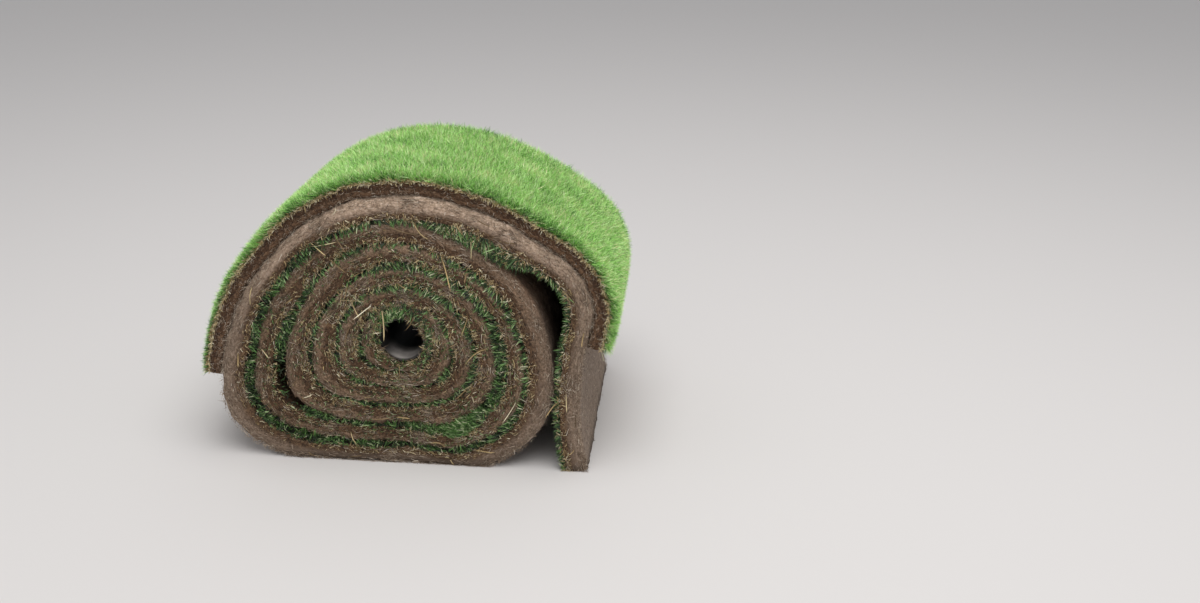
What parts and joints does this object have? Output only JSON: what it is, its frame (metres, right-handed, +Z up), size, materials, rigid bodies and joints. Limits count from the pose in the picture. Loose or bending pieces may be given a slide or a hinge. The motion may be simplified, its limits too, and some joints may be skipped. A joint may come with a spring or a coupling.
{
  "type": "roll of turf",
  "caption": "Sagged roll of turf wound soil side out on a plastic pipe, its loose end hanging down and a cut turf laid over it grass side up.",
  "frame": {"origin": "centre of the whole part's footprint box, at floor level", "axes": "+Y along the roll's axis, away from the end seen in the picture; +X to the loose end's side; +Z up"},
  "size_m": [0.6816, 0.41, 0.5003],
  "materials": {
    "turf_soil": "fibrous soil and root mat",
    "turf_grass": "short dense lawn grass",
    "grey_pipe": "dusty grey plastic pipe"
  },
  "bodies": {
    "root": {"turf_roll": "turf_soil", "draped_strip": "turf_grass", "core_tube": "grey_pipe"}
  },
  "joints": []
}
